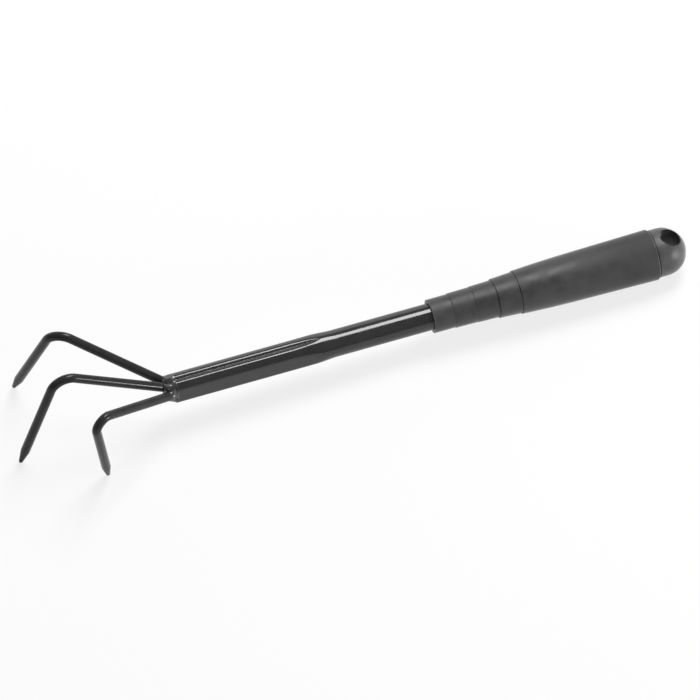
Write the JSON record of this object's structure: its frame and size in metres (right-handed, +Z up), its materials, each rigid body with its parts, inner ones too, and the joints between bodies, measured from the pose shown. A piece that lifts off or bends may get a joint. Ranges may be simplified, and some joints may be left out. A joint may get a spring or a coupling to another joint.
{
  "type": "hand cultivator",
  "caption": "Hand cultivator with bent rod tines welded into a fluted steel tube, and a ringed moulded grip with a domed end and a hang hole.",
  "frame": {"origin": "centre of the hang hole in the domed end, with the tool lying on its points and the heel of its grip", "axes": "+X level, from the tines to the domed end; +Y level, to the side of the left tine; +Z straight up, the side with the flute"},
  "size_m": [0.4115, 0.0895, 0.069],
  "materials": {
    "tube_paint": "glossy black paint on steel tube",
    "tine_paint": "satin black paint on steel rod",
    "weld_paint": "satin black paint over a lumpy weld",
    "grip_plastic": "fine-grained dark grey moulding",
    "plug_plastic": "smooth dark grey moulding"
  },
  "bodies": {
    "root": {"handle_tube": "tube_paint", "left_tine": "tine_paint", "centre_tine": "tine_paint", "right_tine": "tine_paint", "mouth_weld": "weld_paint", "grip_sleeve": "grip_plastic", "end_plug": "plug_plastic"}
  },
  "joints": []
}
